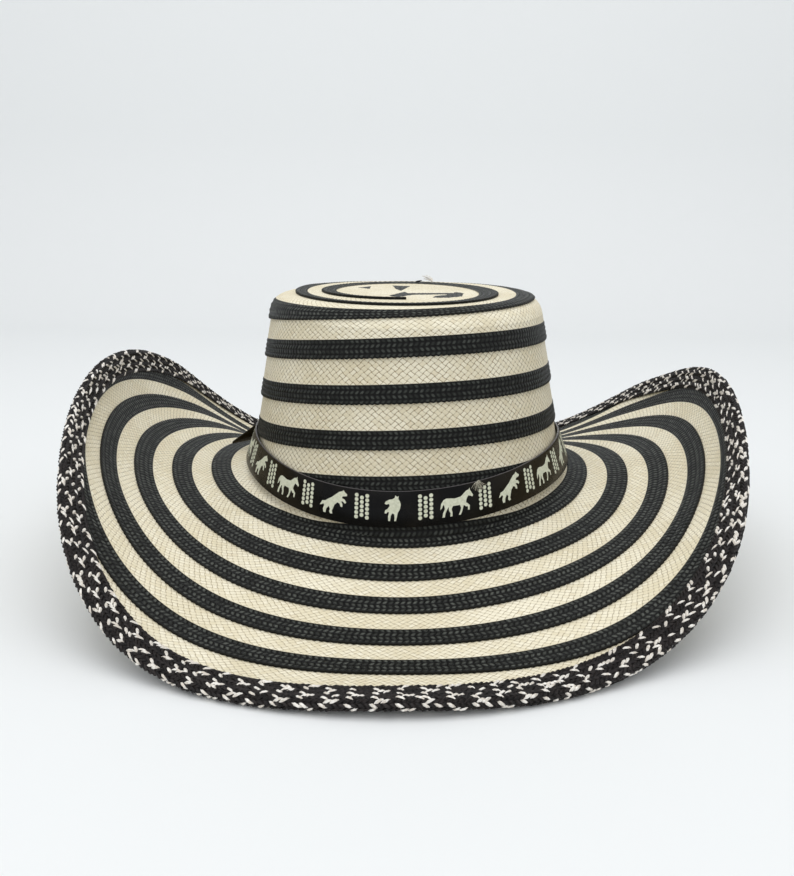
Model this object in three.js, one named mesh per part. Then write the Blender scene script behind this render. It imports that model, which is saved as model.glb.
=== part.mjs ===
// Vueltiao hat: a wide-brimmed hat of plaited cane straw, standing on its brim.
// Millimetres, Z up. The front is at -Y, and X runs across the hat.
// The origin is on the table, under the middle of the hat's outline.
//
// The straw is one sheet, stitched from a long flat braid. A point of its middle surface
// has an azimuth, in degrees from +X towards +Y, and a run: the distance along the surface
// from the corner between top and wall, down the wall and out over the brim.
// Inside that corner, on the top, the run is negative.

import * as THREE from 'three';
import { mergeVertices } from 'three/addons/utils/BufferGeometryUtils.js';

// Straw sheet
const STRAW_THICKNESS = 2;
const SEAM_GAP = 0.3;

// Crown: an oval cone with a soft corner round its top, which sits a little to one side on its foot
const TIP_HALF_WIDTH = 70.5;
const TIP_HALF_LENGTH = 86;
const TIP_HEIGHT = 134.5;
const TIP_FORWARD = 5;
const TIP_LEFT = 1.2;
const TIP_LEAN = 1.5;
const TIP_DOME = 1.5;
const TIP_DOME_EDGE = 4;
const TIP_CORNER = 8;
const TIP_CENTRE = 12;

// Crown's foot, where the brim begins: a saddle, high at the sides
const FOOT_HALF_WIDTH = 83;
const FOOT_HALF_LENGTH = 101.5;
const FOOT_HEIGHT = 36.5;
const FOOT_SADDLE = 8;
const FOOT_RISE_BACK = 2;
const FOOT_BEND = 3;

// Brim: it leaves the foot at the root slope and turns smoothly to the rim slope.
// Slopes are in degrees above level, and the width is a share of BRIM_WIDTH.
const BRIM_WIDTH = 110.5;
const BRIM_CURL = 1.32;
const BRIM_FORM = [
  { azimuth: 0, rootSlope: -9.5, rimSlope: 83, width: 1.005 },
  { azimuth: 30, rootSlope: -11.5, rimSlope: 60, width: 0.97 },
  { azimuth: 60, rootSlope: -22.5, rimSlope: 18, width: 0.99 },
  { azimuth: 90, rootSlope: -32.5, rimSlope: 5, width: 0.995 },
  { azimuth: 120, rootSlope: -34, rimSlope: 32.5, width: 1.005 },
  { azimuth: 150, rootSlope: -11, rimSlope: 74, width: 1.025 },
  { azimuth: 180, rootSlope: -10, rimSlope: 89.5, width: 1.03 },
  { azimuth: 210, rootSlope: -18.5, rimSlope: 63.5, width: 1.01 },
  { azimuth: 240, rootSlope: -23.5, rimSlope: 4, width: 1.06 },
  { azimuth: 270, rootSlope: -26.5, rimSlope: 7, width: 1.02 },
  { azimuth: 300, rootSlope: -20, rimSlope: -3.5, width: 0.965 },
  { azimuth: 330, rootSlope: -22.5, rimSlope: 69.5, width: 0.995 },
];

// Edge braid: a plaited band folded over the rim, pressed flat where it stands
const EDGE_BRAID_WIDTH = 14;
const EDGE_BRAID_WALL = 1.5;
const EDGE_BRAID_NOSE = 2;
const EDGE_BRAID_ROUNDING = 0.7;
const EDGE_BRAID_FLAT = 0.8;

// Hatband, which sits higher in front and leans out at both sides, and the pointed free end of
// its strap, which leaves the crown in a straight line
const BAND_WIDTH = 17;
const BAND_THICKNESS = 1;
const BAND_ABOVE_FOOT = 2;
const BAND_RISE = 7;
const BAND_RISE_AZIMUTH = -77;
const BAND_RISE_POWER = 5;
const BAND_LEAN = 3.5;
const TAIL_START = 130;
const TAIL_LEAVES = 150;
const TAIL_FREE_LENGTH = 50;
const TAIL_POINT_LENGTH = 35;
const TAIL_POINT_WIDTH = 1.5;
const TAIL_RISE = 0.08;

// Facets: azimuth steps round the hat, and steps of the numbers that follow a curve
const AZIMUTH_STEPS = 72;
const BRIM_STATIONS = 9;
const BEND_STATIONS = 3;
const CURVE_STEPS = 24;

const cosDeg = (angle) => Math.cos(THREE.MathUtils.degToRad(angle));
const sinDeg = (angle) => Math.sin(THREE.MathUtils.degToRad(angle));
const lerp = THREE.MathUtils.lerp;

// A closed smooth curve through the rows of BRIM_FORM, as (root slope, rim slope, width)
const brimForm = new THREE.CatmullRomCurve3(
  BRIM_FORM.map((row) => new THREE.Vector3(row.rootSlope, row.rimSlope, row.width)),
  true,
  'catmullrom',
  0.5,
);

function formAt(azimuth) {
  const turn = THREE.MathUtils.euclideanModulo(azimuth, 360) / 360;
  const form = brimForm.getPoint(turn);
  return { rootSlope: form.x, rimSlope: form.y, width: form.z * BRIM_WIDTH };
}

// The top: ovals that shrink by the same distance both ways, on a leaning plane. A dome
// falls off towards the edge with the TIP_DOME_EDGE power.
function tipPoint(azimuth, inset) {
  const x = (TIP_HALF_WIDTH - inset) * cosDeg(azimuth);
  const y = (TIP_HALF_LENGTH - inset) * sinDeg(azimuth);
  const dome = TIP_DOME * (1 - (1 - inset / TIP_HALF_WIDTH) ** TIP_DOME_EDGE);
  const lean = (TIP_LEAN * y) / TIP_HALF_LENGTH;
  return new THREE.Vector3(x - TIP_LEFT, y - TIP_FORWARD, TIP_HEIGHT + lean + dome);
}

function footPoint(azimuth) {
  const height = FOOT_HEIGHT + FOOT_SADDLE * cosDeg(2 * azimuth) + FOOT_RISE_BACK * sinDeg(azimuth);
  return new THREE.Vector3(
    FOOT_HALF_WIDTH * cosDeg(azimuth),
    FOOT_HALF_LENGTH * sinDeg(azimuth),
    height,
  );
}

function wallLength(azimuth) {
  return tipPoint(azimuth, 0).distanceTo(footPoint(azimuth));
}

// The wall: straight lines from the top's corner to the foot
function wallPoint(azimuth, run) {
  return tipPoint(azimuth, 0).lerp(footPoint(azimuth), run / wallLength(azimuth));
}

// The brim: it runs out square to the foot's oval. Its slope goes from the root slope to the
// rim slope with the BRIM_CURL power of the distance, and is summed in short steps.
function brimPoint(azimuth, distance) {
  const form = formAt(azimuth);
  const step = distance / CURVE_STEPS;
  let out = 0;
  let up = 0;
  for (let i = 0; i < CURVE_STEPS; i += 1) {
    const share = ((i + 0.5) * step) / form.width;
    const slope = lerp(form.rootSlope, form.rimSlope, share ** BRIM_CURL);
    out += step * cosDeg(slope);
    up += step * sinDeg(slope);
  }
  const outward = new THREE.Vector3(
    FOOT_HALF_LENGTH * cosDeg(azimuth),
    FOOT_HALF_WIDTH * sinDeg(azimuth),
    0,
  ).normalize();
  const point = footPoint(azimuth).addScaledVector(outward, out);
  point.z += up;
  return point;
}

// A soft corner: a parabola from start to end that is tangent to both sides of the corner
function bendPoint(start, corner, end, share) {
  return new THREE.QuadraticBezierCurve3(start, corner, end).getPoint(share);
}

// The whole straw surface
function strawPoint(azimuth, run) {
  const foot = wallLength(azimuth);
  if (run < -TIP_CORNER) {
    return tipPoint(azimuth, -run);
  }
  if (run < TIP_CORNER) {
    const start = tipPoint(azimuth, TIP_CORNER);
    const end = wallPoint(azimuth, TIP_CORNER);
    const share = (run + TIP_CORNER) / (2 * TIP_CORNER);
    return bendPoint(start, tipPoint(azimuth, 0), end, share);
  }
  if (run < foot - FOOT_BEND) {
    return wallPoint(azimuth, run);
  }
  if (run < foot + FOOT_BEND) {
    const start = wallPoint(azimuth, foot - FOOT_BEND);
    const end = brimPoint(azimuth, FOOT_BEND);
    const share = (run - foot + FOOT_BEND) / (2 * FOOT_BEND);
    return bendPoint(start, footPoint(azimuth), end, share);
  }
  return brimPoint(azimuth, run - foot);
}

// A point at a height above the straw's middle surface: lift is positive on the side that shows
function liftedPoint(azimuth, run, lift) {
  const along = 0.05;
  const across = 0.05;
  const down = strawPoint(azimuth, run + along).sub(strawPoint(azimuth, run - along));
  const round = strawPoint(azimuth + across, run).sub(strawPoint(azimuth - across, run));
  const normal = down.cross(round).normalize();
  return strawPoint(azimuth, run).addScaledVector(normal, lift);
}

// A rail is one line of vertices round the hat: its run and its point at each azimuth
function rail(runAt, lift) {
  return { runAt, pointAt: (azimuth) => liftedPoint(azimuth, runAt(azimuth), lift) };
}

// A sheet's section: its upper face out along the runs, then its lower face back
function sheetRails(runs, thickness) {
  const upper = runs.map((runAt) => rail(runAt, thickness / 2));
  const lower = runs.map((runAt) => rail(runAt, -thickness / 2));
  return [...upper, ...lower.reverse()];
}

function solid(points, triangles) {
  const geometry = new THREE.BufferGeometry().setFromPoints(points);
  geometry.setIndex(triangles.flat());
  const merged = mergeVertices(geometry);
  merged.computeVertexNormals();
  return merged;
}

// Two triangles at each azimuth step between two rails. Their shared edge runs outwards with
// the azimuth on every face, so that faces a small gap apart stay parallel.
function strip(triangles, rails, first, second) {
  const outward = rails[second].runAt(0) > rails[first].runAt(0);
  for (let i = 0; i < AZIMUTH_STEPS; i += 1) {
    const next = (i + 1) % AZIMUTH_STEPS;
    const a = i * rails.length + first;
    const b = i * rails.length + second;
    const c = next * rails.length + second;
    const d = next * rails.length + first;
    if (outward) {
      triangles.push([a, b, c], [a, c, d]);
    } else {
      triangles.push([a, b, d], [b, c, d]);
    }
  }
}

function railPoints(rails) {
  const points = [];
  for (let i = 0; i < AZIMUTH_STEPS; i += 1) {
    const azimuth = (i * 360) / AZIMUTH_STEPS;
    rails.forEach(({ pointAt }) => points.push(pointAt(azimuth)));
  }
  return points;
}

// A closed ring: its section goes once round through all the rails
function ringSolid(rails) {
  const points = railPoints(rails);
  const triangles = [];
  rails.forEach((_, j) => strip(triangles, rails, j, (j + 1) % rails.length));
  return solid(points, triangles);
}

// A closed disc: the first and last rail are each closed by a fan to a middle point
function discSolid(rails, top, bottom) {
  const points = railPoints(rails);
  const triangles = [];
  const last = rails.length - 1;
  for (let j = 0; j < last; j += 1) {
    strip(triangles, rails, j, j + 1);
  }
  const topIndex = points.push(top) - 1;
  const bottomIndex = points.push(bottom) - 1;
  for (let i = 0; i < AZIMUTH_STEPS; i += 1) {
    const here = i * rails.length;
    const next = ((i + 1) % AZIMUTH_STEPS) * rails.length;
    triangles.push([topIndex, here, next], [bottomIndex, next + last, here + last]);
  }
  return solid(points, triangles);
}

// A closed strap: four corners at each station, closed by a quad at both ends
function strapSolid(stations) {
  const points = stations.flat();
  const triangles = [];
  for (let i = 0; i + 1 < stations.length; i += 1) {
    for (let j = 0; j < 4; j += 1) {
      const a = i * 4 + j;
      const b = i * 4 + ((j + 1) % 4);
      triangles.push([a, b, b + 4], [a, b + 4, a + 4]);
    }
  }
  const end = points.length - 4;
  triangles.push([0, 3, 2], [0, 2, 1], [end, end + 1, end + 2], [end, end + 2, end + 3]);
  return solid(points, triangles);
}

function straw(red, green, blue, roughness) {
  const color = new THREE.Color().setRGB(red, green, blue, THREE.SRGBColorSpace);
  return new THREE.MeshStandardMaterial({ color, roughness, metalness: 0 });
}

function piece(name, geometry, material) {
  const mesh = new THREE.Mesh(geometry, material);
  mesh.name = name;
  return mesh;
}

// Where the pieces end along the run
const footSeam = (azimuth) => wallLength(azimuth) - FOOT_BEND;
const rimRun = (azimuth) => wallLength(azimuth) + formAt(azimuth).width;
const braidEdgeRun = (azimuth) => rimRun(azimuth) - EDGE_BRAID_WIDTH;
const braidMiddleRun = (azimuth) => rimRun(azimuth) - EDGE_BRAID_WIDTH / 2;

// Top of the crown: a leaning oval disc whose edge is turned down to the wall
function crownTip() {
  const centreRun = -(TIP_HALF_WIDTH - TIP_CENTRE);
  const runs = [0, 0.35, 0.7].map((share) => lerp(centreRun, -TIP_CORNER, share));
  for (let i = 0; i <= BEND_STATIONS; i += 1) {
    runs.push(-TIP_CORNER + (2 * TIP_CORNER * i) / BEND_STATIONS);
  }
  const rails = sheetRails(runs.map((run) => () => run), STRAW_THICKNESS);
  const middle = tipPoint(90, TIP_HALF_LENGTH);
  const top = middle.clone().setZ(middle.z + STRAW_THICKNESS / 2);
  const bottom = middle.clone().setZ(middle.z - STRAW_THICKNESS / 2);
  return discSolid(rails, top, bottom);
}

// Wall of the crown, between the top's turned edge and the foot
function crownSide() {
  const start = TIP_CORNER + SEAM_GAP;
  const end = (azimuth) => footSeam(azimuth) - SEAM_GAP;
  const shares = [0, 0.33, 0.67, 1];
  const runs = shares.map((share) => (azimuth) => lerp(start, end(azimuth), share));
  return ringSolid(sheetRails(runs, STRAW_THICKNESS));
}

// Brim, with the short bend at the foot. Its outer edge lies inside the edge braid's fold.
function brim() {
  const runs = [];
  for (let i = 0; i <= BEND_STATIONS; i += 1) {
    runs.push((azimuth) => footSeam(azimuth) + (2 * FOOT_BEND * i) / BEND_STATIONS);
  }
  const bendEnd = (azimuth) => footSeam(azimuth) + 2 * FOOT_BEND;
  for (let i = 1; i < BRIM_STATIONS; i += 1) {
    runs.push((azimuth) => lerp(bendEnd(azimuth), braidEdgeRun(azimuth), i / BRIM_STATIONS));
  }
  runs.push(braidEdgeRun);
  runs.push(braidMiddleRun);
  runs.push((azimuth) => rimRun(azimuth) - EDGE_BRAID_WALL - SEAM_GAP);
  return ringSolid(sheetRails(runs, STRAW_THICKNESS));
}

// Edge braid: a channel that holds the brim's edge between two legs
function edgeBraid() {
  const inner = STRAW_THICKNESS / 2 + SEAM_GAP;
  const outer = inner + EDGE_BRAID_WALL;
  const noseRun = (azimuth) => rimRun(azimuth) - EDGE_BRAID_NOSE;
  const shoulderRun = (azimuth) => rimRun(azimuth) - (1 - EDGE_BRAID_ROUNDING) * EDGE_BRAID_NOSE;
  const foldRun = (azimuth) => rimRun(azimuth) - EDGE_BRAID_WALL;
  const shoulder = EDGE_BRAID_ROUNDING * outer;
  return ringSolid([
    rail(braidEdgeRun, outer),
    rail(braidMiddleRun, outer),
    rail(noseRun, outer),
    rail(shoulderRun, shoulder),
    rail(rimRun, 0),
    rail(shoulderRun, -shoulder),
    rail(noseRun, -outer),
    rail(braidMiddleRun, -outer),
    rail(braidEdgeRun, -outer),
    rail(braidEdgeRun, -inner),
    rail(braidMiddleRun, -inner),
    rail(foldRun, -inner),
    rail(foldRun, inner),
    rail(braidMiddleRun, inner),
    rail(braidEdgeRun, inner),
  ]);
}

// Presses the lowest part of a geometry flat, and returns the height that it then stands on
function pressFlat(geometry, depth) {
  geometry.computeBoundingBox();
  const ground = geometry.boundingBox.min.z + depth;
  const position = geometry.attributes.position;
  for (let i = 0; i < position.count; i += 1) {
    position.setZ(i, Math.max(position.getZ(i), ground));
  }
  geometry.computeVertexNormals();
  return ground;
}

// Strap round the foot of the wall
const bandLift = STRAW_THICKNESS / 2 + SEAM_GAP;
const bandBottom = (azimuth) => {
  const nearness = (1 + cosDeg(azimuth - BAND_RISE_AZIMUTH)) / 2;
  return wallLength(azimuth) - BAND_ABOVE_FOOT - BAND_RISE * nearness ** BAND_RISE_POWER;
};
const bandTop = (azimuth) => bandBottom(azimuth) - BAND_WIDTH;

// A point beside the wall's straight line, which runs on past the bend at the foot. At the sides
// the strap leans out from its upper edge to its lower one.
function besideWall(azimuth, run, lift) {
  const middle = wallLength(azimuth) / 2;
  const lean = BAND_LEAN * cosDeg(azimuth) ** 2 * (run - bandTop(azimuth)) / BAND_WIDTH;
  const offset = liftedPoint(azimuth, middle, lift + lean).sub(wallPoint(azimuth, middle));
  return wallPoint(azimuth, run).add(offset);
}

function wallRail(runAt, lift) {
  return { runAt, pointAt: (azimuth) => besideWall(azimuth, runAt(azimuth), lift) };
}

function hatband() {
  const outer = bandLift + BAND_THICKNESS;
  return ringSolid([
    wallRail(bandTop, outer),
    wallRail(bandBottom, outer),
    wallRail(bandBottom, bandLift),
    wallRail(bandTop, bandLift),
  ]);
}

// The strap's free end: it lies on the band, then leaves it in a straight line and narrows
// to a point at its lower edge
function hatbandTail() {
  const inner = bandLift + BAND_THICKNESS + SEAM_GAP;
  const outer = inner + BAND_THICKNESS;
  const corners = (azimuth, width) => [
    besideWall(azimuth, bandBottom(azimuth) - width, outer),
    besideWall(azimuth, bandBottom(azimuth), outer),
    besideWall(azimuth, bandBottom(azimuth), inner),
    besideWall(azimuth, bandBottom(azimuth) - width, inner),
  ];
  const stations = [];
  const step = 360 / AZIMUTH_STEPS;
  for (let azimuth = TAIL_START; azimuth <= TAIL_LEAVES; azimuth += step) {
    stations.push(corners(azimuth, BAND_WIDTH));
  }
  const ahead = besideWall(TAIL_LEAVES + 1, bandBottom(TAIL_LEAVES + 1), inner);
  const leaving = ahead.sub(besideWall(TAIL_LEAVES, bandBottom(TAIL_LEAVES), inner));
  leaving.setZ(0).normalize().setZ(TAIL_RISE);
  const pointStart = TAIL_FREE_LENGTH - TAIL_POINT_LENGTH;
  [
    { distance: pointStart, width: BAND_WIDTH },
    { distance: TAIL_FREE_LENGTH, width: TAIL_POINT_WIDTH },
  ].forEach(({ distance, width }) => {
    const moved = corners(TAIL_LEAVES, width).map((corner) => corner.addScaledVector(leaving, distance));
    stations.push(moved);
  });
  return strapSolid(stations);
}

const palm = straw(0.86, 0.81, 0.69, 0.75);
const plait = straw(0.2, 0.17, 0.16, 0.7);
const strap = straw(0.08, 0.07, 0.07, 0.3);

const edge = edgeBraid();
const ground = pressFlat(edge, EDGE_BRAID_FLAT);

const hat = new THREE.Group();
hat.add(
  piece('crown_tip', crownTip(), palm),
  piece('crown_side', crownSide(), palm),
  piece('brim', brim(), palm),
  piece('edge_braid', edge, plait),
  piece('hatband', hatband(), strap),
  piece('hatband_tail', hatbandTail(), strap),
);

// The hat stands on the table, with its outline centred on the origin
const outline = new THREE.Box3().setFromObject(hat);
const centre = outline.getCenter(new THREE.Vector3());
hat.position.set(-centre.x, -centre.y, -ground);

export default hat;
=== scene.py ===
import bmesh
import bpy
import numpy as np
from mathutils import Matrix


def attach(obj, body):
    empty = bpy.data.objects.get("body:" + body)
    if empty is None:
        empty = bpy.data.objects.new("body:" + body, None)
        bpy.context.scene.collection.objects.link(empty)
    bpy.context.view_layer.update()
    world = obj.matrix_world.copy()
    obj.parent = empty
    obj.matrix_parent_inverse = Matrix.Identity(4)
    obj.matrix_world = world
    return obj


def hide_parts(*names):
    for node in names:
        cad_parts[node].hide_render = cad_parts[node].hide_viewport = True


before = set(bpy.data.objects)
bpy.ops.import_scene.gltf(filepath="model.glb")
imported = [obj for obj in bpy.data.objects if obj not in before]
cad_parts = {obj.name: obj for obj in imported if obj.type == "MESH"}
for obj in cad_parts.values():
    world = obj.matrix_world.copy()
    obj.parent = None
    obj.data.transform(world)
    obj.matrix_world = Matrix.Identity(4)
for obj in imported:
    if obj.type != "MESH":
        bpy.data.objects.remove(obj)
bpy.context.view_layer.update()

MM = 0.001

# ---- straw sheet and top of crown
# The whole hat is one sheet, stitched from a long flat braid of cane straw that winds
# from the middle of the top out to the rim. Each round's black outer edge is lapped over the
# next round and sewn down. The middle of the top is one plaited oval with a woven figure.

# Where the hat's own zero, under the middle of its foot, lies in the frame
HAT_ZERO = (-0.531, 2.524, 2.337)

TIP_HALF_WIDTH = 70.5
TIP_HALF_LENGTH = 86
TIP_HEIGHT = 134.5
TIP_FORWARD = 5
TIP_LEFT = 1.2
TIP_LEAN = 1.5
TIP_DOME = 1.5
TIP_DOME_EDGE = 4
TIP_CORNER = 8

FOOT_HALF_WIDTH = 83
FOOT_HALF_LENGTH = 101.5
FOOT_HEIGHT = 36.5
FOOT_SADDLE = 8
FOOT_RISE_BACK = 2
FOOT_BEND = 3

BRIM_WIDTH = 110.5
BRIM_CURL = 1.32
CURVE_STEPS = 24
# azimuth, slope at the foot and at the rim in degrees, width as a share of BRIM_WIDTH
BRIM_FORM = (
    (0, -9.5, 83, 1.005),
    (30, -11.5, 60, 0.97),
    (60, -22.5, 18, 0.99),
    (90, -32.5, 5, 0.995),
    (120, -34, 32.5, 1.005),
    (150, -11, 74, 1.025),
    (180, -10, 89.5, 1.03),
    (210, -18.5, 63.5, 1.01),
    (240, -23.5, 4, 1.06),
    (270, -26.5, 7, 1.02),
    (300, -20, -3.5, 0.965),
    (330, -22.5, 69.5, 0.995),
)


def cosd(angle):
    """Cosine of an angle in degrees."""
    return np.cos(np.radians(angle))


def sind(angle):
    """Sine of an angle in degrees."""
    return np.sin(np.radians(angle))


def catmull_rom(rows, place):
    """Smooth curve through equally spaced rows: at place i + t it is the cubic that passes
    rows i and i + 1 with the slopes half of (next - last). Rows is a function of the index."""
    i = np.floor(place).astype(int)
    t = (place - i)[..., None]
    a, b, c, d = (rows(i + k) for k in (-1, 0, 1, 2))
    return b + 0.5 * t * (c - a + t * (2 * a - 5 * b + 4 * c - d + t * (3 * (b - c) + d - a)))


def form_at(azimuth):
    """Root slope, rim slope and width of the brim: the closed smooth curve through BRIM_FORM."""
    table = np.array(BRIM_FORM, float)[:, 1:]
    place = (np.asarray(azimuth, float) % 360) / 360 * len(table)
    form = catmull_rom(lambda i: table[i % len(table)], place)
    return form[..., 0], form[..., 1], form[..., 2] * BRIM_WIDTH


def points(*coordinates):
    """Arrays of two or three coordinates as one array of points."""
    return np.stack(np.broadcast_arrays(*coordinates), axis=-1).astype(float)


def unit(vector):
    """A vector, or each of an array of them, brought to length 1."""
    return vector / np.linalg.norm(vector, axis=-1, keepdims=True)


def length_along(line):
    """Distances along a line of points, from its first to each of them."""
    steps = np.linalg.norm(np.diff(line, axis=0), axis=-1)
    return np.concatenate(((0,), np.cumsum(steps)))


def tip_point(azimuth, inset):
    """The oval on the top at a distance inside its corner: both half axes less the inset, on a
    plane that leans along y, plus a dome of 1 - (1 - inset / half width) ** 4."""
    x = (TIP_HALF_WIDTH - inset) * cosd(azimuth)
    y = (TIP_HALF_LENGTH - inset) * sind(azimuth)
    dome = TIP_DOME * (1 - (1 - inset / TIP_HALF_WIDTH) ** TIP_DOME_EDGE)
    lean = TIP_LEAN * y / TIP_HALF_LENGTH
    return points(x - TIP_LEFT, y - TIP_FORWARD, TIP_HEIGHT + lean + dome)


def foot_point(azimuth):
    """The foot's oval; its height is the saddle times cos(2 azimuth) plus a rise to the back."""
    height = FOOT_HEIGHT + FOOT_SADDLE * cosd(2 * azimuth) + FOOT_RISE_BACK * sind(azimuth)
    return points(FOOT_HALF_WIDTH * cosd(azimuth), FOOT_HALF_LENGTH * sind(azimuth), height)


def wall_length(azimuth):
    """Straight distance from the top's corner to the foot."""
    return np.linalg.norm(tip_point(azimuth, 0) - foot_point(azimuth), axis=-1)


def wall_point(azimuth, run):
    """Straight line from the top's corner to the foot, at a distance along it."""
    share = (run / wall_length(azimuth))[..., None]
    return tip_point(azimuth, 0) * (1 - share) + foot_point(azimuth) * share


def brim_point(azimuth, distance):
    """From the foot, outwards square to its oval: the slope goes from root slope to rim slope
    with (distance / width) ** 1.32, and its cosine and sine are summed in 24 steps."""
    root, rim, width = form_at(azimuth)
    step = distance / CURVE_STEPS
    middle = (np.arange(CURVE_STEPS) + 0.5) * (step / width)[..., None]
    curl = np.sign(middle) * np.abs(middle) ** BRIM_CURL
    slope = root[..., None] + (rim - root)[..., None] * curl
    out, up = step * cosd(slope).sum(-1), step * sind(slope).sum(-1)
    square = points(FOOT_HALF_LENGTH * cosd(azimuth), FOOT_HALF_WIDTH * sind(azimuth), 0)
    place = foot_point(azimuth) + unit(square) * out[..., None]
    place[..., 2] += up
    return place


def bend(start, corner, end, share):
    """Parabola from start to end, tangent to both sides of the corner."""
    share = share[..., None]
    return (1 - share) ** 2 * start + 2 * share * (1 - share) * corner + share**2 * end


def corner_point(azimuth, run):
    """Soft corner between the top and the wall."""
    start, end = tip_point(azimuth, TIP_CORNER), wall_point(azimuth, 0 * run + TIP_CORNER)
    return bend(start, tip_point(azimuth, 0), end, (run + TIP_CORNER) / (2 * TIP_CORNER))


def foot_bend_point(azimuth, run):
    """Soft corner between the wall and the brim."""
    foot = wall_length(azimuth)
    start, end = wall_point(azimuth, foot - FOOT_BEND), brim_point(azimuth, 0 * run + FOOT_BEND)
    share = (run - foot + FOOT_BEND) / (2 * FOOT_BEND)
    return bend(start, foot_point(azimuth), end, share)


def straw_point(azimuth, run):
    """Middle of the sheet. The run is the distance from the top's corner down the wall and out
    over the brim, and it is negative on the top."""
    azimuth, run = (np.array(a, float) for a in np.broadcast_arrays(azimuth, run))
    foot = wall_length(azimuth)
    limits = (-TIP_CORNER, TIP_CORNER, foot - FOOT_BEND, foot + FOOT_BEND)
    zone = sum((run >= limit).astype(int) for limit in limits)
    place = np.empty(run.shape + (3,))
    shapes = (
        lambda a, r: tip_point(a, -r),
        corner_point,
        wall_point,
        foot_bend_point,
        lambda a, r: brim_point(a, r - wall_length(a)),
    )
    for index, shape in enumerate(shapes):
        here = zone == index
        place[here] = shape(azimuth[here], run[here])
    return place


def lifted_point(azimuth, run, lift):
    """Sheet's middle plus lift times its normal, which is the cross product of the steps along
    the run and along the azimuth. In metres, in the frame."""
    near = 0.05
    down = straw_point(azimuth, run + near) - straw_point(azimuth, run - near)
    around = straw_point(azimuth + near, run) - straw_point(azimuth - near, run)
    rise = unit(np.cross(down, around)) * lift[..., None]
    return (straw_point(azimuth, run) + rise + HAT_ZERO) * MM


# The braid: ROUND_PITCH from round to round, its outer share dyed black. Its place is a spiral
# of `turns`, whose whole numbers lie at the front, stretched and shifted a little round the hat.
ROUND_PITCH = 20.6
STRETCH = {"cos": 0.011, "sin": -0.049, "cos2": 0.026}
SHIFT = {"all": -5.4, "sin": 1.0, "cos": -0.7}
# The crown's rounds lie a little further down, with less black, up to the turns under the band
CROWN_SHIFT = {"all": 2.5, "sin": 5.6}
CROWN_BLACK = 0.44
BRIM_BLACK = 0.507
CROWN_ENDS = 4.1
BRIM_STARTS = 4.4
# Under the band the black straw's inner edge lies higher in front, and its outer edge at the left
HIGHER_INNER = {"turns": 5, "reach": 0.12, "by": 1.7}
HIGHER_OUTER = {"turns": 4.27, "reach": 0.1, "by": 3.2}
LAP = 3
BRAID_THICKNESS = 0.95
BRAID_TILT = 1.3
WEAVE_PITCH = 2.45
BLACK_RELIEF = 0.32
EDGE_SCALLOP = 0.45
CREAM_ROWS = 6
BLACK_ROWS = 4
ROWS = CREAM_ROWS + BLACK_ROWS
DIAMONDS_ALONG = 0.68
DIAMONDS_ACROSS = 0.82
# Rounds on the top: turns, inner and outer edge of the black straw
TIP_ROUNDS = (
    (-2, -43, -39),
    (-1.75, -33, -25),
    (-1.5, -41, -30),
    (-1.25, -33.5, -22.5),
    (-1, -19.5, -13.5),
    (-0.75, -17.5, -11),
    (-0.5, -4, 4.5),
    (-0.25, -12.5, -2),
    (0, -4, 2.3),
    (0.25, 0.8, 13),
)
FIRST_TURN = TIP_ROUNDS[0][0]
QUARTER = 0.25
SPIRAL_STARTS = TIP_ROUNDS[-1][0] + QUARTER


def spiral_run(turns, black):
    """Run of the black straw's inner edge (black 0) or outer edge (black 1): pitch times (turns
    + black share), times 1 plus the stretch, plus the shift, at the azimuth that the turns have
    reached, less a bump of exp(-away ** 2) under the band. There the crown's own shift and share
    pass smoothly into the brim's."""
    azimuth = -90 - 360 * turns
    share = np.clip((turns - CROWN_ENDS) / (BRIM_STARTS - CROWN_ENDS), 0, 1)
    crown = 1 - share**2 * (3 - 2 * share)
    stretch = 1 + STRETCH["cos"] * cosd(azimuth) + STRETCH["sin"] * sind(azimuth)
    stretch = stretch + STRETCH["cos2"] * cosd(2 * azimuth)
    shift = SHIFT["all"] + SHIFT["sin"] * sind(azimuth) + SHIFT["cos"] * cosd(azimuth)
    shift = shift + crown * (CROWN_SHIFT["all"] + CROWN_SHIFT["sin"] * sind(azimuth))
    width = black * (BRIM_BLACK + crown * (CROWN_BLACK - BRIM_BLACK))
    higher = HIGHER_OUTER if black else HIGHER_INNER
    away = (turns - higher["turns"]) / higher["reach"]
    return ROUND_PITCH * (turns + width) * stretch + shift - higher["by"] * np.exp(-(away**2))


def black_edges(turns):
    """Runs of the black straw's inner and outer edge: the smooth curve through TIP_ROUNDS on
    the top, which ends in the spiral's own quarter turns, and the spiral from there on."""
    table = np.array(TIP_ROUNDS, float)
    after = SPIRAL_STARTS + np.arange(3) * QUARTER
    more = np.stack((after, spiral_run(after, 0), spiral_run(after, 1)), axis=-1)
    table = np.concatenate((table, more))[:, 1:]
    place = np.clip((turns - FIRST_TURN) / QUARTER, 0, len(table) - 2)
    curve = catmull_rom(lambda i: table[np.clip(i, 0, len(table) - 1)], place)
    late = turns >= SPIRAL_STARTS
    inner = np.where(late, spiral_run(turns, 0), curve[..., 0])
    outer = np.where(late, spiral_run(turns, 1), curve[..., 1])
    return inner, outer


def braid_run(turns, row):
    """Run of a row of the weave: cream rows are spread evenly from under the last round to the
    black straw's inner edge, and black rows from there to its outer edge."""
    inner, outer = black_edges(turns)
    start = black_edges(turns - 1)[1] - LAP
    cream = start + (inner - start) * row / CREAM_ROWS
    black = inner + (outer - inner) * (row - CREAM_ROWS) / BLACK_ROWS
    return np.where(row < CREAM_ROWS, cream, black)


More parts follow.
